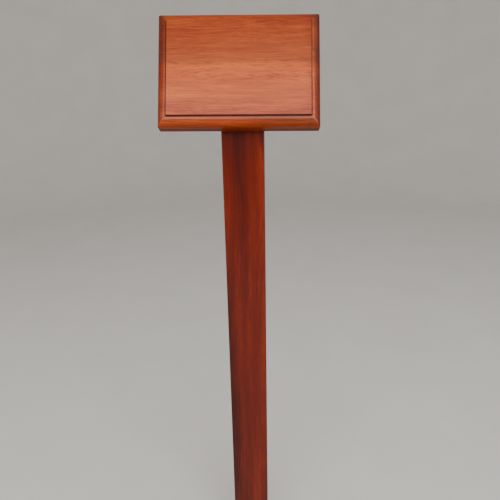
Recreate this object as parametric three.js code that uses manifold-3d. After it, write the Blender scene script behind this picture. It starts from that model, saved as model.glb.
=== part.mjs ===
// Lectern-style wooden plaque on a pointed post.
// Millimetres, +Z up, front towards -Y. Origin: centre of the blunt tip of the stake.
import * as THREE from 'three';
import * as BufferGeometryUtils from 'three/addons/utils/BufferGeometryUtils.js';
import Module from 'manifold-3d';

const wasm = await Module();
wasm.setup();

// ---------- driving dimensions (mm) ----------
const GAP = 0.3;              // clearance between neighbouring faces
const TILT = 22;              // lean of the plaque back from the post, degrees

const POST_W = 95;            // across the front (X)
const POST_D = 44;            // front to back (Y)
const POST_L = 1350;          // tip to the top of the back face
const POINT_H = 100;          // height of the four-sided point
const TIP_W = 26;             // blunt tip, X
const TIP_D = 14;             // blunt tip, Y

const PLAQUE_W = 340;         // outer width
const PLAQUE_H = 240;         // outer height along the slope
const FIELD_IN = 20;          // inset of the raised field on every side
const BACK_T = 18;            // thickness of the build-up layer behind the face board
const SQUARE_T = 6;           // square edge of the face board under the ovolo
const OVOLO_R = 20;           // quarter-round moulding
const STEP_T = 6;             // step from the ovolo up to the field
const FACE_T = SQUARE_T + OVOLO_R + STEP_T;
const RAIL_W = 34;            // width of the rails and stiles of the build-up layer
const SADDLE_W = 150;         // mounting batten behind the middle
const SHOULDER = 3.6;         // narrow flat between the ovolo and the raised field
const QUIRK_W = 1.9;          // small groove at the foot of the raised field
const QUIRK_D = 1.3;
const OVERHANG = 60;          // plaque below the front of the splay cut, along the slope
const HEAD_X = -5;            // the plaque sits this far off the middle of the post
const HEAD_SKEW = -0.8;       // and is turned this much on its seat, degrees

const SCREW_R = 2.0;          // shank radius of the back-layer screws
const SCREW_HEAD_R = 4.2;
const SCREW_LEN = 38;
const POST_SCREW_R = 2.6;
const POST_SCREW_HEAD_R = 5.2;
const PLUG_R = 6.5;
const DOWEL_R = 5;

// ---------- helpers ----------
const rad = (d) => (d * Math.PI) / 180;
const sinT = Math.sin(rad(TILT));
const cosT = Math.cos(rad(TILT));

function toSolid(geometry) {
  const g = geometry.clone();
  g.deleteAttribute('normal');
  g.deleteAttribute('uv');
  const m = BufferGeometryUtils.mergeVertices(g, 1e-4);
  return new wasm.Manifold(new wasm.Mesh({
    numProp: 3,
    vertProperties: new Float32Array(m.attributes.position.array),
    triVerts: new Uint32Array(m.index.array),
  }));
}

function toGeometry(solid) {
  const mesh = solid.getMesh();
  const p = new Float32Array((mesh.vertProperties.length / mesh.numProp) * 3);
  for (let i = 0; i < p.length / 3; i++) {
    for (let k = 0; k < 3; k++) p[3 * i + k] = mesh.vertProperties[i * mesh.numProp + k];
  }
  const g = new THREE.BufferGeometry();
  g.setAttribute('position', new THREE.BufferAttribute(p, 3));
  g.setIndex(new THREE.BufferAttribute(new Uint32Array(mesh.triVerts), 1));
  g.computeVertexNormals();
  return g;
}

// box from its lowest and highest corners
function box(x0, y0, z0, x1, y1, z1) {
  const g = new THREE.BoxGeometry(x1 - x0, y1 - y0, z1 - z0);
  g.translate((x0 + x1) / 2, (y0 + y1) / 2, (z0 + z1) / 2);
  return g;
}

// turned solid about local +Z from [radius, z] pairs, moved to (x, y)
function turned(profile, x, y, segments) {
  const g = new THREE.LatheGeometry(profile.map(([r, z]) => new THREE.Vector2(r, z)), segments);
  g.rotateX(Math.PI / 2);
  g.translate(x, y, 0);
  return g;
}

// stack of four-cornered rings, closed at both ends
function rings(list) {
  const pos = [];
  const idx = [];
  for (const r of list) {
    for (const [x, y, z] of r) pos.push(x, y, z);
  }
  idx.push(0, 2, 1, 0, 3, 2);
  for (let k = 0; k + 1 < list.length; k++) {
    const a = 4 * k;
    for (let i = 0; i < 4; i++) {
      const j = (i + 1) % 4;
      idx.push(a + i, a + j, a + 4 + j, a + i, a + 4 + j, a + 4 + i);
    }
  }
  const t = 4 * (list.length - 1);
  idx.push(t, t + 1, t + 2, t, t + 2, t + 3);
  const g = new THREE.BufferGeometry();
  g.setAttribute('position', new THREE.Float32BufferAttribute(pos, 3));
  g.setIndex(idx);
  g.computeVertexNormals();
  return g;
}

function cut(base, tools) {
  let s = toSolid(base);
  for (const t of tools) s = s.subtract(toSolid(t));
  return toGeometry(s);
}

// countersunk wood screw along +Z; head face at z0
function screwProfile(r, headR, len, z0) {
  const coneH = headR - r;
  return [
    [0, z0 + 0.9], [headR * 0.45, z0 + 0.9], [headR * 0.55, z0], [headR, z0],
    [headR, z0 + 0.5], [r, z0 + 0.5 + coneH], [r, z0 + len * 0.8], [0.6, z0 + len], [0, z0 + len],
  ];
}

// clearance hole for the same screw, open at the head end
function holeProfile(r, headR, len, z0) {
  const coneH = headR - r;
  const c = GAP;
  return [
    [0, z0 - 4], [headR + c, z0 - 4], [headR + c, z0 + 0.5 + c], [r + c, z0 + 0.5 + coneH + c],
    [r + c, z0 + len * 0.8 + c], [0.6 + c, z0 + len + c], [0, z0 + len + c],
  ];
}

// ---------- materials ----------
const faceWood = new THREE.MeshStandardMaterial({ color: 0xa8562e, roughness: 0.32, metalness: 0 });
const mouldWood = new THREE.MeshStandardMaterial({ color: 0x7c4224, roughness: 0.4, metalness: 0 });
const postWood = new THREE.MeshStandardMaterial({ color: 0x6e2c16, roughness: 0.38, metalness: 0 });
const beech = new THREE.MeshStandardMaterial({ color: 0xc29a6a, roughness: 0.7, metalness: 0 });
const brass = new THREE.MeshStandardMaterial({ color: 0xb08a45, roughness: 0.35, metalness: 1 });
const steel = new THREE.MeshStandardMaterial({ color: 0x9a9c9e, roughness: 0.35, metalness: 1 });

const part = new THREE.Group();
part.name = 'plaque_on_post';

function node(parent, name, geometry, material) {
  const mesh = new THREE.Mesh(geometry, material);
  mesh.name = name;
  parent.add(mesh);
  return mesh;
}

// ---------- where the head sits ----------
// splay cut: from the front face up to the back face, leaning back by TILT
const splayLen = POST_D / sinT;
const splayZ0 = POST_L - splayLen * cosT;
const head = new THREE.Group();
head.name = 'head';
head.rotation.set(rad(90 - TILT), 0, rad(HEAD_SKEW));
head.position.set(
  0,
  -POST_D / 2 - OVERHANG * sinT - GAP * cosT,
  splayZ0 - OVERHANG * cosT + GAP * sinT,
);
// shifted sideways and turned about its own middle, staying flat on the splay
head.position.add(new THREE.Vector3(
  HEAD_X + (PLAQUE_H / 2) * Math.sin(rad(HEAD_SKEW)),
  (PLAQUE_H / 2) * (1 - Math.cos(rad(HEAD_SKEW))),
  0,
).applyAxisAngle(new THREE.Vector3(1, 0, 0), rad(90 - TILT)));
part.add(head);
// In the head's own frame: x across, y up the slope, z out of the face, z = 0 on the back.

// ---------- fixings, laid out in the head's frame ----------
const railScrews = [
  [-153, 17], [-60, 17], [60, 17], [153, 17],
  [-153, PLAQUE_H - 17], [-60, PLAQUE_H - 17], [60, PLAQUE_H - 17], [153, PLAQUE_H - 17],
];
const stileScrews = [[-153, PLAQUE_H / 2], [153, PLAQUE_H / 2]];
const saddleScrews = [[-62, 64], [62, 64], [-62, 176], [62, 176]];
// distance from the splay to the back of the post along the screw, at s up the slope
const backDepth = (s) => (POST_D - s * sinT) / cosT;
const postScrews = [[-24, 25], [24, 25], [0, 66]].map(([x, s]) => {
  const t = backDepth(s);
  const headZ = -t + 11;                   // bottom of the counterbore
  return { x, s, y: OVERHANG + s, headZ, len: 36 - headZ, backZ: -t };
});
const dowels = [[-30, 48], [30, 48]].map(([x, s]) => ({ x, y: OVERHANG + s }));
const SEG = 12;

const backHoles = (list) => list.map(([x, y]) => turned(holeProfile(SCREW_R, SCREW_HEAD_R, SCREW_LEN, 0), x, y, SEG));
const postHoles = () => postScrews.map((p) => {
  const prof = [
    [0, p.backZ - 12], [PLUG_R + GAP, p.backZ - 12], [PLUG_R + GAP, p.headZ],
    [POST_SCREW_HEAD_R + GAP, p.headZ], [POST_SCREW_HEAD_R + GAP, p.headZ + 0.5 + GAP],
    [POST_SCREW_R + GAP, p.headZ + 0.5 + POST_SCREW_HEAD_R - POST_SCREW_R + GAP],
    [POST_SCREW_R + GAP, p.headZ + p.len + 1], [0, p.headZ + p.len + 1],
  ];
  return turned(prof, p.x, p.y, SEG);
});
const DOWEL_BACK = -17;
const DOWEL_FRONT = 15.5;
const dowelHoles = () => dowels.map((d) => turned([
  [0, DOWEL_BACK - 0.5], [DOWEL_R + GAP, DOWEL_BACK - 0.5], [DOWEL_R + GAP, DOWEL_FRONT + 0.5], [0, DOWEL_FRONT + 0.5],
], d.x, d.y, SEG));

// ---------- face board: raised field, step with a quirk, shoulder, ovolo, square edge ----------
function rect(inset, z) {
  return [
    [-PLAQUE_W / 2 + inset, inset, z], [PLAQUE_W / 2 - inset, inset, z],
    [PLAQUE_W / 2 - inset, PLAQUE_H - inset, z], [-PLAQUE_W / 2 + inset, PLAQUE_H - inset, z],
  ];
}
const zFace0 = BACK_T + GAP;
const zOvolo = BACK_T + SQUARE_T;
const faceRings = [rect(0, zFace0)];
const OV_STEPS = 12;
for (let i = 0; i <= OV_STEPS; i++) {
  const a = rad((90 * i) / OV_STEPS);
  faceRings.push(rect((FIELD_IN - SHOULDER) * (1 - Math.cos(a)), zOvolo + OVOLO_R * Math.sin(a)));
}
const zShoulder = zOvolo + OVOLO_R;
faceRings.push(rect(FIELD_IN - QUIRK_W, zShoulder));
faceRings.push(rect(FIELD_IN - QUIRK_W * 0.62, zShoulder - QUIRK_D));
faceRings.push(rect(FIELD_IN, zShoulder - QUIRK_D));
faceRings.push(rect(FIELD_IN, BACK_T + FACE_T));
node(head, 'face_board', cut(rings(faceRings), [
  ...backHoles(railScrews), ...backHoles(stileScrews), ...backHoles(saddleScrews), ...postHoles(),
]), faceWood);

// ---------- build-up layer: rails, stiles and the mounting batten ----------
const half = PLAQUE_W / 2;
const inRail = (lo, hi, list) => list.filter(([, y]) => y > lo && y < hi);
node(head, 'bottom_rail', cut(box(-half, 0, 0, half, RAIL_W, BACK_T), backHoles(inRail(0, RAIL_W, railScrews))), mouldWood);
node(head, 'top_rail', cut(box(-half, PLAQUE_H - RAIL_W, 0, half, PLAQUE_H, BACK_T),
  backHoles(inRail(PLAQUE_H - RAIL_W, PLAQUE_H, railScrews))), mouldWood);
node(head, 'left_stile', cut(box(-half, RAIL_W + GAP, 0, -half + RAIL_W, PLAQUE_H - RAIL_W - GAP, BACK_T),
  backHoles([stileScrews[0]])), mouldWood);
node(head, 'right_stile', cut(box(half - RAIL_W, RAIL_W + GAP, 0, half, PLAQUE_H - RAIL_W - GAP, BACK_T),
  backHoles([stileScrews[1]])), mouldWood);
node(head, 'saddle_batten', cut(
  box(-SADDLE_W / 2, RAIL_W + GAP, 0, SADDLE_W / 2, PLAQUE_H - RAIL_W - GAP, BACK_T),
  [...backHoles(saddleScrews), ...postHoles(), ...dowelHoles()],
), postWood);

// ---------- screws of the head ----------
const screwGeo = (x, y) => turned(screwProfile(SCREW_R, SCREW_HEAD_R, SCREW_LEN, 0), x, y, SEG);
railScrews.forEach(([x, y], i) => node(head, `rail_screw_${i + 1}`, screwGeo(x, y), brass));
stileScrews.forEach(([x, y], i) => node(head, `stile_screw_${i + 1}`, screwGeo(x, y), brass));
saddleScrews.forEach(([x, y], i) => node(head, `saddle_screw_${i + 1}`, screwGeo(x, y), brass));

// ---------- post ----------
const hw = POST_W / 2;
const hd = POST_D / 2;
const postRings = [
  [[-TIP_W / 2, -TIP_D / 2, 0], [TIP_W / 2, -TIP_D / 2, 0], [TIP_W / 2, TIP_D / 2, 0], [-TIP_W / 2, TIP_D / 2, 0]],
  [[-hw, -hd, POINT_H], [hw, -hd, POINT_H], [hw, hd, POINT_H], [-hw, hd, POINT_H]],
  [[-hw, -hd, splayZ0], [hw, -hd, splayZ0], [hw, hd, POST_L], [-hw, hd, POST_L]],
];
head.updateMatrixWorld(true);
part.updateMatrixWorld(true);
const toWorld = (g) => g.applyMatrix4(head.matrixWorld);
node(part, 'post', cut(rings(postRings), [...postHoles(), ...dowelHoles()].map(toWorld)), postWood);

// ---------- post screws, plugs over them, and locating dowels ----------
postScrews.forEach((p, i) => {
  node(head, `post_screw_${i + 1}`,
    turned(screwProfile(POST_SCREW_R, POST_SCREW_HEAD_R, p.len, p.headZ), p.x, p.y, SEG), steel);
  const plug = toWorld(turned([
    [0, p.backZ - 10], [PLUG_R, p.backZ - 10], [PLUG_R, p.headZ - GAP], [0, p.headZ - GAP],
  ], p.x, p.y, SEG));
  const keep = box(-hw, -hd - 50, 0, hw, hd, POST_L + 100);
  node(part, `screw_plug_${i + 1}`, toGeometry(toSolid(plug).intersect(toSolid(keep))), beech);
});
dowels.forEach((d, i) => node(head, `locating_dowel_${i + 1}`, turned([
  [0, DOWEL_BACK], [DOWEL_R - 1, DOWEL_BACK], [DOWEL_R, DOWEL_BACK + 1],
  [DOWEL_R, DOWEL_FRONT - 1], [DOWEL_R - 1, DOWEL_FRONT], [0, DOWEL_FRONT],
], d.x, d.y, SEG), beech));

export default part;
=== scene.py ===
import math
import bpy
import bmesh
from mathutils import Matrix, Vector


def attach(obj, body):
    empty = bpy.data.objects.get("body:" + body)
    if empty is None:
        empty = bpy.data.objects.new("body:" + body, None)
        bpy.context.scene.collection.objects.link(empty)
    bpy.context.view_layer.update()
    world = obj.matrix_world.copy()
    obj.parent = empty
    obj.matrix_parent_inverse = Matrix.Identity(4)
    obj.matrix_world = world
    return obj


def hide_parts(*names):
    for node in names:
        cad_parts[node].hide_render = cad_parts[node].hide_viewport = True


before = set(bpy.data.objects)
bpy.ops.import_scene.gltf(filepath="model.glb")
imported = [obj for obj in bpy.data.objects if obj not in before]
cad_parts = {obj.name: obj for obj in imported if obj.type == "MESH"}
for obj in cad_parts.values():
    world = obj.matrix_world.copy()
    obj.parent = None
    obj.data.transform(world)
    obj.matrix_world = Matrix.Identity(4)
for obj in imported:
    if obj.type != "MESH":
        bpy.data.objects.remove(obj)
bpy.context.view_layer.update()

# ---------------------------------------------------------------- dimensions (mm), as in the construction
TILT = math.radians(22)
POST_W, POST_D, POST_L = 95.0, 44.0, 1350.0
POINT_H, TIP_W, TIP_D = 100.0, 26.0, 14.0
W, H = 340.0, 240.0
FIELD_IN, BACK_T, SQUARE_T, OVOLO_R, STEP_T = 20.0, 18.0, 6.0, 20.0, 6.0
RAIL_W, SADDLE_W, OVERHANG, GAP = 34.0, 150.0, 60.0, 0.3
QUIRK_W, QUIRK_D, SHOULDER = 1.9, 1.3, 3.6
HEAD_X, HEAD_SKEW = -5.0, math.radians(-0.8)     # the plaque sits a little off the post's middle and out of square with it
sT, cT = math.sin(TILT), math.cos(TILT)
sK, cK = math.sin(HEAD_SKEW), math.cos(HEAD_SKEW)
SPLAY_Z0 = POST_L - POST_D / sT * cT
ALONG = Vector((1, 0, 0))
SLOPE = Vector((0, sT, cT))
OUT = Vector((0, -cT, sT))
RIGHT = ALONG * cK + SLOPE * sK
UP = SLOPE * cK - ALONG * sK
HEAD = (Vector((0, -POST_D / 2 - OVERHANG * sT - GAP * cT, SPLAY_Z0 - OVERHANG * cT + GAP * sT))
        + ALONG * (HEAD_X + H / 2 * sK) + SLOPE * (H / 2 * (1 - cK)))


def on_head(x, v, w):
    """Point of the head's own frame (x across, v up the slope, w out of the face) in metres."""
    return (HEAD + RIGHT * x + UP * v + OUT * w) * 0.001


HEAD_M = Matrix((
    (RIGHT.x, UP.x, OUT.x, HEAD.x * 0.001),
    (RIGHT.y, UP.y, OUT.y, HEAD.y * 0.001),
    (RIGHT.z, UP.z, OUT.z, HEAD.z * 0.001),
    (0, 0, 0, 1),
))


# ---------------------------------------------------------------- node helpers
class Tree:
    def __init__(self, name):
        self.mat = bpy.data.materials.new(name)
        self.mat.use_nodes = True
        self.nt = self.mat.node_tree
        self.nt.nodes.clear()
        self.out = self.nt.nodes.new("ShaderNodeOutputMaterial")
        self.bsdf = self.nt.nodes.new("ShaderNodeBsdfPrincipled")
        self.nt.links.new(self.bsdf.outputs[0], self.out.inputs[0])

    def put(self, socket, value):
        if isinstance(value, bpy.types.NodeSocket):
            self.nt.links.new(value, socket)
        elif value is not None:
            socket.default_value = value

    def math(self, op, a, b=None, c=None, clamp=False):
        n = self.nt.nodes.new("ShaderNodeMath")
        n.operation = op
        n.use_clamp = clamp
        for s, v in zip(n.inputs, (a, b, c)):
            self.put(s, v)
        return n.outputs[0]

    def remap(self, v, a, b, c=0.0, d=1.0, smooth=False):
        n = self.nt.nodes.new("ShaderNodeMapRange")
        n.interpolation_type = "SMOOTHSTEP" if smooth else "LINEAR"
        for i, x in enumerate((v, a, b, c, d)):
            self.put(n.inputs[i], x)
        return n.outputs[0]

    def mix(self, f, a, b, kind="MIX"):
        n = self.nt.nodes.new("ShaderNodeMix")
        n.data_type = "RGBA"
        n.blend_type = kind
        self.put(n.inputs[0], f)
        self.put(n.inputs[6], a)
        self.put(n.inputs[7], b)
        return n.outputs[2]

    def coords(self):
        return self.nt.nodes.new("ShaderNodeTexCoord").outputs["Object"]

    def place(self, vec, loc=(0, 0, 0), rot=(0, 0, 0), scale=(1, 1, 1), kind="POINT"):
        n = self.nt.nodes.new("ShaderNodeMapping")
        n.vector_type = kind
        self.put(n.inputs[0], vec)
        n.inputs[1].default_value = loc
        n.inputs[2].default_value = rot
        n.inputs[3].default_value = scale
        return n.outputs[0]

    def noise(self, vec, scale=1.0, detail=2.0, rough=0.5, dist=0.0):
        n = self.nt.nodes.new("ShaderNodeTexNoise")
        self.put(n.inputs["Vector"], vec)
        n.inputs["Scale"].default_value = scale
        n.inputs["Detail"].default_value = detail
        n.inputs["Roughness"].default_value = rough
        n.inputs["Distortion"].default_value = dist
        return n.outputs[0]

    def voronoi(self, vec, scale=1.0):
        n = self.nt.nodes.new("ShaderNodeTexVoronoi")
        self.put(n.inputs["Vector"], vec)
        n.inputs["Scale"].default_value = scale
        return n.outputs["Distance"]

    def sep(self, vec):
        n = self.nt.nodes.new("ShaderNodeSeparateXYZ")
        self.put(n.inputs[0], vec)
        return n.outputs

    def comb(self, x, y, z):
        n = self.nt.nodes.new("ShaderNodeCombineXYZ")
        for s, v in zip(n.inputs, (x, y, z)):
            self.put(s, v)
        return n.outputs[0]

    def ramp(self, f, stops):
        n = self.nt.nodes.new("ShaderNodeValToRGB")
        self.put(n.inputs[0], f)
        e = n.color_ramp.elements
        while len(e) < len(stops):
            e.new(0.5)
        for el, (p, c) in zip(e, stops):
            el.position = p
            el.color = (*c, 1)
        return n.outputs[0]

    def bump(self, height, strength, distance, normal=None):
        n = self.nt.nodes.new("ShaderNodeBump")
        self.put(n.inputs["Height"], height)
        n.inputs["Strength"].default_value = strength
        n.inputs["Distance"].default_value = distance
        if normal is not None:
            self.put(n.inputs["Normal"], normal)
        return n.outputs[0]

    def set(self, **kw):
        for k, v in kw.items():
            self.put(self.bsdf.inputs[k.replace("_", " ")], v)


# ---------------------------------------------------------------- varnished wood
def wood(name, dark, mid, light, grain, seed, rings, gain=1.0, coat=1.0, coat_rough=0.16, stripe=None, pore=0.5, ring=0.45, moulded=False, flecks=0.34, streaks=0.85, broads=1.15, spec=0.12):
    """grain: 'x' or 'z', the way the fibres run; rings: (pith offsets across the grain in m, ring spacing in m).
    The head's pieces use the plaque's own frame, so that the figure lies square to its faces."""
    t = Tree(name)
    p = t.coords()
    if grain == "x":
        p = t.place(p, loc=(-HEAD.x * 0.001, -HEAD.y * 0.001, -HEAD.z * 0.001))
        p = t.place(p, rot=(-math.radians(68), 0, 0))      # y up the slope, z out of the face
        p = t.place(p, rot=(0, 0, -HEAD_SKEW))
        q = p
    else:
        s = t.sep(p)
        q = t.comb(s[2], s[0], s[1])                        # fibres along the first axis in every case
    own = q
    q = t.place(q, loc=seed)
    # slow wander of the fibres
    wander = t.noise(t.place(q, scale=(2.2, 9, 9)), 1.0, 2.0, 0.5)
    wander2 = t.noise(t.place(q, loc=(3.1, 0.7, 0.2), scale=(7, 30, 30)), 1.0, 2.0, 0.55)
    s = t.sep(q)
    bend = t.math("ADD", t.math("MULTIPLY", t.math("SUBTRACT", wander, 0.5), 0.05),
                  t.math("MULTIPLY", t.math("SUBTRACT", wander2, 0.5), 0.006))
    qb = t.comb(s[0], t.math("ADD", s[1], bend), t.math("ADD", s[2], t.math("MULTIPLY", bend, 0.6)))
    sb = t.sep(qb)
    # growth rings round a pith off to one side, drifting along the board
    (py, pz), spacing, drift = rings
    dy = t.math("SUBTRACT", sb[1], t.math("ADD", py, t.math("MULTIPLY", s[0], drift)))
    dz = t.math("SUBTRACT", sb[2], pz)
    r = t.math("SQRT", t.math("ADD", t.math("MULTIPLY", dy, dy), t.math("MULTIPLY", dz, dz)))
    ring_pos = t.math("DIVIDE", r, spacing)
    tooth = t.math("FRACT", ring_pos)
    late = t.math("POWER", tooth, 2.6)
    per_ring = t.noise(t.comb(t.math("FLOOR", ring_pos), 0.37, 0.11), 1.7, 0.0, 0.5)
    # streaks at three widths, long along the fibres
    broad = t.noise(t.place(qb, scale=(1.6, 26, 26)), 1.0, 2.0, 0.5)
    streak = t.noise(t.place(qb, loc=(1.3, 0.4, 0.9), scale=(9, 190, 190)), 1.0, 3.0, 0.6)
    fleck = t.noise(t.place(qb, loc=(0.8, 2.4, 0.6), scale=(48, 430, 430)), 1.0, 1.5, 0.5)
    fleck = t.remap(fleck, 0.52, 0.70, 0.0, 1.0, True)
    if moulded:
        band = t.math("ABSOLUTE", t.math("SUBTRACT", t.math("ADD", t.sep(own)[1], t.math("MULTIPLY", bend, 0.5)), 0.118))
        fleck = t.math("MULTIPLY", fleck, t.remap(band, 0.004, 0.028, 2.1, 0.50, True))
    fine = t.noise(t.place(qb, loc=(2.3, 0.1, 0.5), scale=(26, 900, 900)), 1.0, 2.0, 0.6)
    # open pores: short dark dashes along the fibres
    dash = t.noise(t.place(qb, loc=(0.4, 1.4, 0.3), scale=(75, 1500, 1500)), 1.0, 1.0, 0.5)
    pores = t.remap(dash, 0.60, 0.72, 0.0, 1.0, True)
    pores = t.math("MULTIPLY", pores, t.remap(streak, 0.35, 0.6, 0.35, 1.0))
    f = t.math("ADD", t.math("MULTIPLY", t.math("SUBTRACT", broad, 0.5), broads),
               t.math("MULTIPLY", t.math("SUBTRACT", streak, 0.5), streaks))
    f = t.math("ADD", f, t.math("MULTIPLY", t.math("SUBTRACT", fine, 0.5), 0.75))
    f = t.math("SUBTRACT", f, t.math("MULTIPLY", t.math("MULTIPLY", late, t.remap(per_ring, 0.3, 0.7, 0.2, 1.0)), ring))
    f = t.math("SUBTRACT", f, t.math("MULTIPLY", fleck, t.remap(broad, 0.3, 0.7, flecks, flecks * 0.5)))
    f = t.math("ADD", f, 0.66)
    if stripe is not None:
        f = t.math("ADD", f, stripe(t, s, bend))
    f = t.math("MULTIPLY", t.math("SUBTRACT", f, 0.5), gain)
    f = t.math("ADD", f, 0.5, clamp=True)
    col = t.ramp(f, [(0.0, dark), (0.5, mid), (1.0, light)])
    col = t.mix(t.math("MULTIPLY", pores, pore), col, (dark[0] * 0.55, dark[1] * 0.5, dark[2] * 0.5, 1))
    # slow patches of redder and yellower tone
    tone = t.noise(t.place(q, scale=(3, 12, 12)), 1.0, 1.0, 0.5)
    col = t.mix(t.remap(tone, 0.3, 0.7, 0.0, 0.35), col, t.mix(1.0, col, (1.0, 0.72, 0.55, 1), "MULTIPLY"))
    if moulded:
        # end grain on the two short mouldings, painted shade on the board and its mouldings, and a painted shadow line
        # in the step round the field
        o = t.sep(own)
        # painted shade: the upper part of the board is darker, where its varnish reflects less light; the edge wanders
        # with the grain, and it eases off near the top
        upper = t.remap(t.math("ADD", o[1], t.math("MULTIPLY", bend, 0.6)), 0.126, 0.141, 0.0, 1.0, True)
        upper = t.math("MULTIPLY", upper, t.remap(o[1], 0.155, 0.200, 1.0, 0.66, True))
        col = t.mix(upper, col, t.mix(1.0, col, (0.69, 0.65, 0.60, 1), "MULTIPLY"))
        ax = t.math("SUBTRACT", t.math("ABSOLUTE", o[0]), (W / 2 - FIELD_IN) * 0.001)
        ay = t.math("SUBTRACT", t.math("ABSOLUTE", t.math("SUBTRACT", o[1], H / 2 * 0.001)), (H / 2 - FIELD_IN) * 0.001)
        ends = t.math("MULTIPLY", t.remap(t.math("SUBTRACT", ax, ay), -0.0002, 0.0002), t.remap(ax, 0.0, 0.0006))
        out = t.math("MAXIMUM", ax, ay)
        right = t.remap(o[0], -0.001, 0.001)
        left = t.math("SUBTRACT", 1.0, right)
        # painted shade: the right-hand margin of the field is a little darker, and its shoulder keeps the field's tone
        margin = t.math("MULTIPLY", t.math("MULTIPLY", right, t.remap(ax, -0.014, 0.0, 0.0, 0.80, True)), t.remap(ax, 0.0, 0.0004, 1.0, 0.0))
        col = t.mix(margin, col, t.mix(1.0, col, (0.78, 0.82, 0.95, 1), "MULTIPLY"))
        # darker end grain on the two short mouldings, partly real end grain and partly painted shade; on the right it
        # fades out next to the field
        end_grain_and_shade = t.math("MULTIPLY", ends, t.math("SUBTRACT", 0.55, t.math("MULTIPLY", right, t.remap(out, 0.004, 0.009, 0.50, 0.0, True))))
        col = t.mix(end_grain_and_shade, col, t.mix(1.0, col, (0.52, 0.30, 0.18, 1), "MULTIPLY"))
        # painted shade on the mouldings: the short left one darker towards the top, the short right one darker all
        # along, both lighter next to the field, the bottom one darker towards its right-hand end, all eased off at the
        # very outer edge
        high = t.remap(o[1], 0.07, 0.19, 0.0, 1.0, True)
        moulding_shade = t.math("ADD", t.math("MULTIPLY", right, t.math("SUBTRACT", 0.60, t.math("MULTIPLY", high, 0.06))),
                       t.math("MULTIPLY", left, t.math("ADD", 0.24, t.math("MULTIPLY", high, 0.34))))
        near = t.math("ADD", t.math("MULTIPLY", right, 0.10), t.math("MULTIPLY", left, 0.80))
        moulding_shade = t.math("MULTIPLY", t.math("MULTIPLY", moulding_shade, ends), t.remap(out, 0.003, 0.011, near, 1.0))
        long_side = t.math("SUBTRACT", 1.0, ends)
        bottom = t.math("MULTIPLY", t.remap(o[1], 0.0205, 0.0195), long_side)
        top = t.math("MULTIPLY", t.remap(o[1], 0.2195, 0.2205), long_side)
        foot = t.math("MULTIPLY", bottom, t.math("ADD", t.remap(o[0], 0.0, 0.12, 0.14, 0.42, True),
                                                 t.remap(out, 0.004, 0.016, 0.0, -0.14, True)))
        moulding_shade = t.math("ADD", moulding_shade, foot)
        flank = t.remap(out, 0.0165, 0.0199, 1.0, 0.40, True)
        moulding_shade = t.math("MULTIPLY", moulding_shade, flank)
        col = t.mix(moulding_shade, col, t.mix(1.0, col, (0.36, 0.29, 0.27, 1), "MULTIPLY"))
        # painted shade: the rounded moulding beyond the shoulder is made a deeper, darker orange than the field
        col = t.mix(t.remap(out, 0.004, 0.012, 0.0, 0.8), col, t.mix(1.0, col, (0.88, 0.72, 0.55, 1), "MULTIPLY"))
        # painted shade: the outer edge of the mouldings darker, on the short right moulding a dark band across it
        # instead, and on the bottom moulding its lower edge and underside
        rim = t.math("MULTIPLY", t.math("MULTIPLY", t.remap(out, 0.009, 0.0175, 0.0, 0.95, True), flank), 0.52)
        side = t.math("MULTIPLY", t.remap(out, 0.0105, 0.0165, 0.0, 0.55, True), t.remap(out, 0.0163, 0.0182, 1.0, 0.30, True))
        east = t.math("MULTIPLY", right, ends)
        rim = t.math("ADD", t.math("MULTIPLY", rim, t.math("SUBTRACT", 1.0, east)), t.math("MULTIPLY", side, east))
        low =t.math("ADD", t.remap(out, 0.0135, 0.0192, 0.0, 0.42, True), t.remap(out, 0.0191, 0.01995, 0.0, 0.34))
        rim = t.math("ADD", t.math("MULTIPLY", rim, t.math("SUBTRACT", 1.0, bottom)), t.math("MULTIPLY", low, bottom))
        col = t.mix(rim, col, t.mix(1.0, col, (0.42, 0.33, 0.29, 1), "MULTIPLY"))
        # the bottom moulding is shaded towards its right-hand end
        shade = t.math("ADD", t.remap(out, 0.0155, 0.0190, 0.42, 0.0, True), t.remap(out, 0.005, 0.014, 0.22, 0.0))
        shade = t.math("MULTIPLY", shade, t.remap(out, 0.0034, 0.0050))
        shade = t.math("MULTIPLY", t.math("MULTIPLY", shade, bottom), t.remap(o[0], -0.05, 0.10, 0.26, 1.0, True))
        col = t.mix(shade, col, t.mix(1.0, col, (0.50, 0.58, 0.80, 1), "MULTIPLY"))
        # painted shade: the long top moulding goes dark towards both corners, and the whole top moulding is a touch
        # browner
        tips = t.math("MULTIPLY", top, t.remap(t.math("ABSOLUTE", o[0]), 0.140, 0.166, 0.0, 0.80, True))
        col = t.mix(top, col, t.mix(1.0, col, (0.93, 0.97, 1.0, 1), "MULTIPLY"))
        col = t.mix(tips, col, t.mix(1.0, col, (0.34, 0.32, 0.34, 1), "MULTIPLY"))
        # the film lies thick on the flat shoulder and thins out round the edge
        flat = t.math("ADD", t.math("MULTIPLY", t.remap(out, 0.0032, 0.0042, 0.20, 0.0, True), long_side),
                      t.math("MULTIPLY", t.remap(out, 0.0040, 0.0095, 0.12, 0.0, True), ends))
        flat = t.math("MULTIPLY", flat, t.remap(out, 0.0, 0.0004))
        coat = t.remap(out, 0.011, 0.0178, coat, coat * 0.12, True)
        coat = t.math("ADD", coat, flat)
        # the back face of the board and the first of its square edge are darker: partly a darker back and a dark joint
        # line, partly painted shade; the coat is thin there
        back = t.remap(o[2], 0.0188, 0.0200, 1.0, 0.0)
        col = t.mix(back, col, t.mix(1.0, col, (0.60, 0.46, 0.42, 1), "MULTIPLY"))
        coat = t.math("MULTIPLY", coat, t.math("SUBTRACT", 1.0, t.math("MULTIPLY", back, 0.9)))
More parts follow.
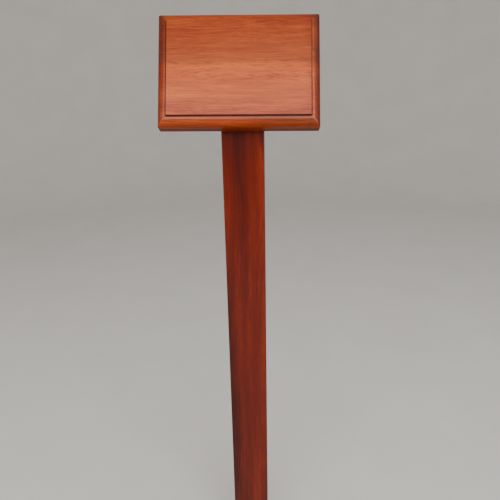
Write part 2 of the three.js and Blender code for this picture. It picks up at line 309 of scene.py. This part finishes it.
        # painted shadow: a dark line in the quirk groove and the step round the field
        quirk_shadow_x = t.math("MULTIPLY", t.remap(ax, t.math("SUBTRACT", -0.0005, t.math("MULTIPLY", left, 0.0009)), -0.0001),
                        t.remap(ax, 0.0012, 0.0020, 0.80, 0.0, True))
        quirk_shadow_y = t.math("MULTIPLY", t.remap(ay, -0.0005, -0.0001), t.remap(ay, 0.0019, 0.0026, 0.95, 0.0, True))
        quirk_shadow_x = t.math("MULTIPLY", quirk_shadow_x, t.remap(ay, 0.0016, 0.0022, 1.0, 0.0))
        quirk_shadow_y = t.math("MULTIPLY", quirk_shadow_y, t.remap(ax, 0.0016, 0.0022, 1.0, 0.0))
        # the painted shadow line is faint in the higher part of the right-hand quirk, where the light from the right
        # reaches into it
        quirk_shadow_x = t.math("MULTIPLY", quirk_shadow_x, t.math("SUBTRACT", 1.0, t.math("MULTIPLY", right, t.remap(o[1], 0.095, 0.140, 0.0, 0.85, True))))
        col = t.mix(t.math("MAXIMUM", quirk_shadow_x, quirk_shadow_y), col, (0.085, 0.0062, 0.0022, 1))
    rough = t.remap(streak, 0.3, 0.7, 0.36, 0.46)
    rough = t.math("ADD", rough, t.math("MULTIPLY", pores, 0.15), clamp=True)
    # sunk pores under the film, and the film's own slight orange-peel and brush drag
    n1 = t.bump(t.math("SUBTRACT", t.math("MULTIPLY", fine, 0.3), pores), 0.35, 0.00012)
    peel = t.noise(t.place(q, scale=(60, 160, 160)), 1.0, 2.0, 0.5)
    n2 = t.bump(t.math("ADD", t.math("MULTIPLY", peel, 1.0), t.math("MULTIPLY", streak, 0.12)), 0.14, 0.0004)
    t.set(Base_Color=col, Roughness=rough, Normal=n1)
    t.bsdf.inputs["IOR"].default_value = 1.5
    t.bsdf.inputs["Specular IOR Level"].default_value = spec
    t.put(t.bsdf.inputs["Coat Weight"], coat)
    t.bsdf.inputs["Coat Roughness"].default_value = coat_rough
    t.bsdf.inputs["Coat IOR"].default_value = 1.5
    t.put(t.bsdf.inputs["Coat Normal"], n2)
    return t.mat


def post_stripe(t, s, bend):
    """Dark heart down the middle of the post and a lighter strip towards its right-hand edge, with painted shadow at
    its top under the plaque and painted shade along its two side edges.
    """
    x = t.math("ADD", s[1], t.math("MULTIPLY", bend, 0.55))
    right = t.math("MULTIPLY", t.remap(x, 0.014, 0.036, 0.0, 0.36, True), t.remap(s[0], 0.15, 0.75, 0.35, 1.0, True))
    # painted shadow: the lighter strip fades out at the top, under the plaque
    right = t.math("MULTIPLY", right, t.remap(s[0], 1.11, 1.18, 1.0, 0.25, True))
    left = t.math("MULTIPLY", t.remap(x, -0.044, -0.012, 1.0, 0.0, True), t.remap(s[0], 0.70, 1.00, -0.26, 0.20, True))
    heart = t.math("SUBTRACT", 1.0, t.math("ABSOLUTE", t.math("DIVIDE", t.math("ADD", x, 0.004), 0.017)), clamp=True)
    v = t.math("SUBTRACT", t.math("ADD", right, left), t.math("MULTIPLY", heart, 0.16))
    # painted shadow: darker towards the top of the post, under the plaque
    v = t.math("SUBTRACT", v, t.remap(s[0], 0.85, 1.17, 0.05, 0.26, True))
    # painted shade along the post's two rounded side edges
    v = t.math("SUBTRACT", v, t.remap(t.math("ABSOLUTE", s[1]), 0.0457, 0.0473, 0.0, 0.30))
    return t.math("SUBTRACT", v, 0.125)


FACE = wood("face_wood", (0.180, 0.0165, 0.0016), (0.430, 0.060, 0.0048), (0.66, 0.140, 0.0140), "x", (0, 0, 0),
            ((-0.16, -0.05), 0.0045, 0.012), gain=1.0, coat=0.68, coat_rough=0.10, pore=0.5, ring=0.15, moulded=True, streaks=1.0, spec=0.09)
# the rails, stiles and batten take a much darker copy of the face wood: partly their own colour, partly painted shade
# for the underside and back that sit in shadow
RAIL = wood("rail_wood", (0.060, 0.0048, 0.0007), (0.145, 0.0145, 0.0018), (0.24, 0.031, 0.004), "x", (0.4, 0.2, 0.1),
            ((-0.2, -0.1), 0.005, 0.0), gain=0.9, coat=0.08, coat_rough=0.36, pore=0.5, ring=0.3, spec=0.04)
POST = wood("post_wood", (0.055, 0.0032, 0.0005), (0.148, 0.0100, 0.0011), (0.32, 0.033, 0.0030), "z", (0, 0, 0),
            ((0.09, 0.11), 0.0052, 0.012), gain=0.9, coat=0.32, coat_rough=0.22, stripe=post_stripe, pore=0.3, ring=0.16,
            flecks=0.10, streaks=0.55, broads=1.3)
PLUG = wood("plug_wood", (0.06, 0.006, 0.0015), (0.18, 0.022, 0.004), (0.30, 0.045, 0.008), "z", (0.2, 0.3, 0.1),
            ((0.3, 0.2), 0.004, 0.0), gain=0.8, coat=0.5, coat_rough=0.3, pore=0.4)


def metal(name, a, b, rough):
    t = Tree(name)
    p = t.coords()
    n = t.noise(p, 900.0, 3.0, 0.6)
    blot = t.noise(p, 160.0, 2.0, 0.5)
    t.set(Base_Color=t.mix(t.remap(blot, 0.35, 0.65), (*a, 1), (*b, 1)),
          Roughness=t.remap(n, 0.3, 0.7, rough - 0.07, rough + 0.1),
          Normal=t.bump(n, 0.2, 0.0001))
    t.bsdf.inputs["Metallic"].default_value = 1.0
    return t.mat


BRASS = metal("brass", (0.55, 0.37, 0.13), (0.40, 0.25, 0.08), 0.34)
STEEL = metal("steel", (0.55, 0.55, 0.56), (0.42, 0.42, 0.43), 0.36)


# ---------------------------------------------------------------- mesh helpers
def to_object(name, bm, mat, sharp=32):
    bmesh.ops.recalc_face_normals(bm, faces=bm.faces)
    me = bpy.data.meshes.new(name)
    bm.to_mesh(me)
    bm.free()
    ob = bpy.data.objects.new(name, me)
    bpy.context.scene.collection.objects.link(ob)
    me.materials.append(mat)
    me.shade_smooth()
    me.set_sharp_from_angle(angle=math.radians(sharp))
    return ob


def loft(rings):
    """Closed skin through rings of equal point counts, flat at both ends."""
    bm = bmesh.new()
    vs = [[bm.verts.new(p) for p in ring] for ring in rings]
    n = len(rings[0])
    for a, b in zip(vs, vs[1:]):
        for i in range(n):
            j = (i + 1) % n
            bm.faces.new((a[i], a[j], b[j], b[i]))
    bm.faces.new(list(reversed(vs[0])))
    bm.faces.new(vs[-1])
    return bm


def round_rect(x0, y0, x1, y1, r, steps=4):
    pts = []
    for cx, cy, a0 in ((x1 - r, y1 - r, 0), (x0 + r, y1 - r, 90), (x0 + r, y0 + r, 180), (x1 - r, y0 + r, 270)):
        for k in range(steps + 1):
            a = math.radians(a0 + 90 * k / steps)
            pts.append((cx + r * math.cos(a), cy + r * math.sin(a)))
    return pts


def turned(profile, seg, matrix):
    """Solid of revolution from (radius, height) pairs that start and end on the axis."""
    bm = bmesh.new()
    rows = []
    for r, z in profile:
        if r < 1e-9:
            rows.append([bm.verts.new(matrix @ Vector((0, 0, z)) )])
        else:
            rows.append([bm.verts.new(matrix @ Vector((r * math.cos(2 * math.pi * i / seg), r * math.sin(2 * math.pi * i / seg), z)))
                         for i in range(seg)])
    for a, b in zip(rows, rows[1:]):
        for i in range(seg):
            j = (i + 1) % seg
            if len(a) == 1:
                bm.faces.new((a[0], b[j], b[i]))
            elif len(b) == 1:
                bm.faces.new((a[i], a[j], b[0]))
            else:
                bm.faces.new((a[i], a[j], b[j], b[i]))
    return bm


def boolean(ob, cutters, op="DIFFERENCE", sharp=32):
    for c in cutters:
        m = ob.modifiers.new("cut", "BOOLEAN")
        m.operation = op
        m.solver = "EXACT"
        m.object = c
    bpy.context.view_layer.update()
    dg = bpy.context.evaluated_depsgraph_get()
    me = bpy.data.meshes.new_from_object(ob.evaluated_get(dg))
    ob.modifiers.clear()
    mats = [m for m in ob.data.materials]
    ob.data = me
    me.materials.clear()
    for m in mats:
        me.materials.append(m)
    for f in me.polygons:
        f.material_index = 0
    me.shade_smooth()
    me.set_sharp_from_angle(angle=math.radians(sharp))
    for c in cutters:
        bpy.data.objects.remove(c, do_unlink=True)
    return ob


def finish_piece(ob, slot, *nodes):
    m = ob.modifiers.new("flat_faces", "WEIGHTED_NORMAL")
    m.keep_sharp = True
    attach(ob, "root")
    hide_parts(*nodes)


# ---------------------------------------------------------------- face board
def head_ring(inset, w, r):
    r = max(r, 0.12)
    return [on_head(x, v, w) for x, v in round_rect(-W / 2 + inset, inset, W / 2 - inset, H - inset, r)]


zf = BACK_T + GAP
zo = BACK_T + SQUARE_T
prof = [(0.7, zf, 1.3), (0.22, zf + 0.2, 1.7), (0.0, zf + 0.7, 1.9), (0.0, zo - 0.4, 1.9)]
N = 30
for i in range(N + 1):
    a = math.radians(90 * i / N)
    inset = (FIELD_IN - SHOULDER) * (1 - math.cos(a))
    prof.append((inset, zo + OVOLO_R * math.sin(a), 1.9 + 0.6 * math.sin(math.pi * min(inset / 14.0, 1.0))))
# the rounded moulding ends in a narrow flat shoulder and a small quirk groove at the foot of the raised field
zq = zo + OVOLO_R
prof += [(FIELD_IN - QUIRK_W - 0.25, zq - 0.01, 1.6), (FIELD_IN - QUIRK_W, zq - 0.18, 1.4),
         (FIELD_IN - QUIRK_W + 0.25, zq - QUIRK_D * 0.62, 1.1), (FIELD_IN - QUIRK_W * 0.62, zq - QUIRK_D * 0.93, 0.8),
         (FIELD_IN - QUIRK_W * 0.35, zq - QUIRK_D, 0.5), (FIELD_IN - 0.12, zq - QUIRK_D * 0.88, 0.4),
         (FIELD_IN, zq - QUIRK_D * 0.55, 0.4), (FIELD_IN, zq + 1.0, 0.4)]
zt = BACK_T + SQUARE_T + OVOLO_R + STEP_T
for k in range(6):
    a = math.radians(90 * k / 5)
    prof.append((FIELD_IN + 1.3 * (1 - math.cos(a)), zt - 1.3 * (1 - math.sin(a)), 0.7))
face = to_object("plaque_face_board", loft([head_ring(*p) for p in prof]), FACE)
finish_piece(face, "plaque_wood", "face_board")


# ---------------------------------------------------------------- build-up layer
def slab(name, x0, v0, x1, v1, mat, corners=1.0):
    e = 0.55
    rows = [(e, 0.0), (e * 0.3, e * 0.3), (0.0, e), (0.0, BACK_T - e), (e * 0.3, BACK_T - e * 0.3), (e, BACK_T)]
    rings = [[on_head(x, v, w) for x, v in round_rect(x0 + i, v0 + i, x1 - i, v1 - i, max(corners - i * 0.5, 0.3), 3)]
             for i, w in rows]
    return to_object(name, loft(rings), mat)


def screw_hole(x, v, name="hole"):
    prof_h = [(0, -3e-3), (4.5e-3, -3e-3), (4.5e-3, 0.5e-3), (2.3e-3, 2.9e-3), (2.3e-3, 19e-3), (0, 19e-3)]
    return to_object(name, turned(prof_h, 40, HEAD_M @ Matrix.Translation((x * 0.001, v * 0.001, 0))), BRASS)


rail_screws = [(-153, 17), (-60, 17), (60, 17), (153, 17), (-153, H - 17), (-60, H - 17), (60, H - 17), (153, H - 17)]
stile_screws = [(-153, H / 2), (153, H / 2)]
saddle_screws = [(-62, 64), (62, 64), (-62, 176), (62, 176)]

br = boolean(slab("plaque_bottom_rail", -W / 2, 0, W / 2, RAIL_W, RAIL, 1.3), [screw_hole(*s) for s in rail_screws[:4]])
finish_piece(br, "rail_wood", "bottom_rail")
tr = boolean(slab("plaque_top_rail", -W / 2, H - RAIL_W, W / 2, H, RAIL, 1.3), [screw_hole(*s) for s in rail_screws[4:]])
finish_piece(tr, "rail_wood", "top_rail")
ls = boolean(slab("plaque_left_stile", -W / 2, RAIL_W + GAP, -W / 2 + RAIL_W, H - RAIL_W - GAP, RAIL, 0.8), [screw_hole(*stile_screws[0])])
finish_piece(ls, "rail_wood", "left_stile")
rs = boolean(slab("plaque_right_stile", W / 2 - RAIL_W, RAIL_W + GAP, W / 2, H - RAIL_W - GAP, RAIL, 0.8), [screw_hole(*stile_screws[1])])
finish_piece(rs, "rail_wood", "right_stile")
sb = boolean(slab("plaque_saddle_batten", -SADDLE_W / 2, RAIL_W + GAP, SADDLE_W / 2, H - RAIL_W - GAP, RAIL, 0.8),
             [screw_hole(*s) for s in saddle_screws])
finish_piece(sb, "rail_wood", "saddle_batten")


# ---------------------------------------------------------------- countersunk screws with a cross recess
def screw(name, x, v, spin, node):
    m = HEAD_M @ Matrix.Translation((x * 0.001, v * 0.001, 0)) @ Matrix.Rotation(spin, 4, "Z")
    p = [(0, 0.12), (2.4, 0.13), (3.9, 0.20), (4.2, 0.42), (4.2, 0.62), (2.0, 2.8), (2.0, 30.4), (0.6, 38), (0, 38)]
    ob = to_object(name, turned([(r * 1e-3, z * 1e-3) for r, z in p], 40, m), BRASS)
    cuts = []
    for k in range(2):
        bm = bmesh.new()
        bmesh.ops.create_cube(bm, size=1.0)
        c = m @ Matrix.Rotation(math.pi / 2 * k, 4, "Z") @ Matrix.Translation((0, 0, 0.0004)) @ Matrix.Diagonal((0.0046, 0.00085 + 0.00001 * k, 0.0024, 1))
        bm.transform(c)
        cuts.append(to_object(name + "_cut", bm, BRASS))
    boolean(ob, cuts)
    finish_piece(ob, "brass_screw", node)


spin = 0.3
for group, pos in (("rail_screw", rail_screws), ("stile_screw", stile_screws), ("saddle_screw", saddle_screws)):
    for i, (x, v) in enumerate(pos):
        spin = (spin * 1.7 + 0.61) % 1.57
        screw(f"visible_{group}_{i + 1}", x, v, spin, f"{group}_{i + 1}")


# ---------------------------------------------------------------- post
def post_ring(hx, hy, zf_, r, ztop=None):
    pts = []
    for x, y in round_rect(-hx, -hy, hx, hy, r, 4):
        if ztop is None:
            z = zf_
        else:
            z = SPLAY_Z0 + (y + POST_D / 2) / POST_D * (POST_L - SPLAY_Z0) + ztop
        pts.append(Vector((x, y, z)) * 0.001)
    return pts


R = 2.6
hx, hy = POST_W / 2, POST_D / 2
rows = [post_ring(TIP_W / 2 - 0.6, TIP_D / 2 - 0.6, 0, 0.8), post_ring(TIP_W / 2, TIP_D / 2, 1.4, 1.0)]
for k in range(1, 8):
    s = k / 8
    rows.append(post_ring(TIP_W / 2 + (hx - TIP_W / 2) * s, TIP_D / 2 + (hy - TIP_D / 2) * s, POINT_H * s, 1.0 + 0.8 * s))
rows.append(post_ring(hx - 0.25, hy - 0.15, POINT_H - 1.2, R - 0.4))
rows.append(post_ring(hx, hy, POINT_H + 1.5, R))
for z in range(150, 1201, 50):
    rows.append(post_ring(hx, hy, z, R))
rows.append(post_ring(hx, hy, 0, R, -1.6))
rows.append(post_ring(hx - 0.3, hy, 0, R, -0.5))
rows.append(post_ring(hx - 0.8, hy - 0.25, 0, R, 0.0))
post = to_object("timber_post", loft(rows), POST)

back_depth = lambda s: (POST_D - s * sT) / cT
cutters = []
for x, s in ((-24, 25), (24, 25), (0, 66)):
    bz = -back_depth(s)
    m = HEAD_M @ Matrix.Translation((x * 0.001, (OVERHANG + s) * 0.001, 0))
    cutters.append(to_object("plug_hole", turned([(0, (bz - 14) * 1e-3), (6.62e-3, (bz - 14) * 1e-3), (6.62e-3, (bz + 10.9) * 1e-3), (0, (bz + 10.9) * 1e-3)], 48, m), POST))
boolean(post, cutters)
finish_piece(post, "post_wood", "post")

# plugs cut flush with the back of the post
for i, (x, s) in enumerate(((-24, 25), (24, 25), (0, 66))):
    bz = -back_depth(s)
    m = HEAD_M @ Matrix.Translation((x * 0.001, (OVERHANG + s) * 0.001, 0))
    plug = to_object(f"flush_plug_{i + 1}", turned([(0, (bz - 9) * 1e-3), (6.5e-3, (bz - 9) * 1e-3), (6.5e-3, (bz + 10.6) * 1e-3), (0, (bz + 10.6) * 1e-3)], 48, m), PLUG)
    bm = bmesh.new()
    bmesh.ops.create_cube(bm, size=1.0)
    bm.transform(Matrix.Translation((0, 0.022 + 0.05, 1.3)) @ Matrix.Diagonal((0.3, 0.1, 0.6, 1)))
    boolean(plug, [to_object("plane_cut", bm, PLUG)])
    finish_piece(plug, "plug_wood", f"screw_plug_{i + 1}")

for n in ("post_screw_1", "post_screw_2", "post_screw_3"):
    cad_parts[n].data.materials.clear()
    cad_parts[n].data.materials.append(STEEL)
for n in ("locating_dowel_1", "locating_dowel_2"):
    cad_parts[n].data.materials.clear()
    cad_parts[n].data.materials.append(PLUG)


# ---------------------------------------------------------------- floor and backdrop
def backdrop():
    """Round floor that curves up into a wall all the way round, so that every side is seen against the same pale ground."""
    bm = bmesh.new()
    prof_b = [(0.6, 0.0), (1.8, 0.0), (3.2, 0.0), (4.4, 0.0)]
    for k in range(1, 19):
        a = math.radians(90 * k / 18)
        prof_b.append((4.4 + 1.9 * math.sin(a), 1.9 * (1 - math.cos(a))))
    prof_b.append((6.3, 4.6))
    seg = 96
    rows_b = [[bm.verts.new((r * math.cos(2 * math.pi * i / seg), r * math.sin(2 * math.pi * i / seg), z - 0.0005)) for i in range(seg)]
              for r, z in prof_b]
    bm.faces.new(rows_b[0])
    for a, b in zip(rows_b, rows_b[1:]):
        for i in range(seg):
            j = (i + 1) % seg
            bm.faces.new((a[i], b[i], b[j], a[j]))
    t = Tree("studio_floor")
    n = t.noise(t.coords(), 3.0, 4.0, 0.6)
    t.set(Base_Color=t.mix(t.remap(n, 0.3, 0.7), (0.77, 0.752, 0.718, 1), (0.81, 0.792, 0.758, 1)))
    t.bsdf.inputs["Roughness"].default_value = 0.85
    ob = to_object("studio_floor", bm, t.mat, 60)


backdrop()

world = bpy.data.worlds.new("studio")
bpy.context.scene.world = world
world.use_nodes = True
world.node_tree.nodes["Background"].inputs[0].default_value = (0.86, 0.85, 0.83, 1)
world.node_tree.nodes["Background"].inputs[1].default_value = 0.40


def area(name, loc, target, sx, sy, power, color=(1, 1, 1)):
    d = bpy.data.lights.new(name, "AREA")
    d.shape = "RECTANGLE"
    d.size, d.size_y = sx, sy
    d.energy = power
    d.color = color
    ob = bpy.data.objects.new(name, d)
    ob.location = loc
    ob.rotation_euler = (Vector(target) - Vector(loc)).to_track_quat("-Z", "Y").to_euler()
    bpy.context.scene.collection.objects.link(ob)
    return ob


def panel(name, low, high, radiance, width=5.0, dist=3.2, color=(1.0, 0.97, 0.90)):
    """Soft panel behind the viewer between two elevations (degrees) as seen from the board."""
    mid = math.radians((low + high) / 2)
    tall = 2 * dist * math.tan(math.radians((high - low) / 2))
    aim = Vector((0, -0.05, 1.30))
    loc = aim + Vector((0, -math.cos(mid), math.sin(mid))) * dist
    area(name, loc, aim, width, tall, radiance * math.pi * width * tall, color)


# broad light from the upper right, a bright panel behind the viewer that fades out above about 45 degrees, weak fill
key = area("key", (0.9, -0.9, 4.1), (0, 0, 1.2), 2.4, 2.4, 52.5, (1.0, 0.98, 0.95))
key.visible_glossy = False      # soft bounce light, seen in no polished edge
panel("panel", 12, 42.2, 2.22, color=(1.0, 0.955, 0.965))
panel("panel_top", 42.2, 44.6, 2.22)
panel("panel_edge", 44.6, 46.6, 1.40, color=(1.0, 0.96, 0.95))
panel("panel_fade", 46.6, 49.1, 0.77, color=(1.0, 0.96, 0.95))
panel("panel_far", 49.1, 54.6, 0.30, color=(1.0, 0.96, 0.95))
panel("panel_low", 13, 31.6, 1.84, dist=3.1, color=(1.0, 0.955, 0.965))


def strip(name, a, b, target, width, radiance, color):
    """Long narrow light from a to b that shows only as a glint in the varnish."""
    a, b, target = Vector(a), Vector(b), Vector(target)
    mid = (a + b) / 2
    ob = area(name, mid, target, (b - a).length, width, radiance * math.pi * (b - a).length * width, color)
    z = (mid - target).normalized()
    x = ((b - a) - z * (b - a).dot(z)).normalized()
    y = z.cross(x)
    ob.rotation_euler = Matrix((x, y, z)).transposed().to_euler()
    ob.visible_diffuse = False


strip("mitre_glint", (1.20, -2.62, 2.50), (2.66, -1.62, 0.48), (0.165, -0.09, 1.2), 1.05, 7.0, (1.0, 0.94, 0.92))
area("fill", (-2.6, -1.2, 1.6), (0, 0, 1.0), 1.6, 2.0, 10, (1.0, 0.98, 0.95))
side = area("side", (2.58, -0.94, 2.85), (0.16, -0.06, 1.3), 3.6, 1.6, 9.5, (0.93, 0.96, 1.0))
side.visible_diffuse = False    # open sky to the right, seen only in the varnish

# ---------------------------------------------------------------- camera
cam_d = bpy.data.cameras.new("camera")
cam_d.sensor_fit = "HORIZONTAL"
cam_d.sensor_width = 36.0
cam_d.lens = 34.56
cam_d.clip_start = 0.01
cam = bpy.data.objects.new("camera", cam_d)
bpy.context.scene.collection.objects.link(cam)
cam.location = (0.0299, -1.0996, 1.2803)
CAM_PITCH, CAM_YAW, CAM_ROLL = -19.031, 1.019, 1.15
cam.rotation_mode = "XYZ"
cam.matrix_world = (Matrix.Translation(cam.location)
                    @ Matrix.Rotation(math.radians(CAM_YAW), 4, "Z")
                    @ Matrix.Rotation(math.radians(90 + CAM_PITCH), 4, "X")
                    @ Matrix.Rotation(math.radians(-CAM_ROLL), 4, "Z"))
bpy.context.scene.camera = cam
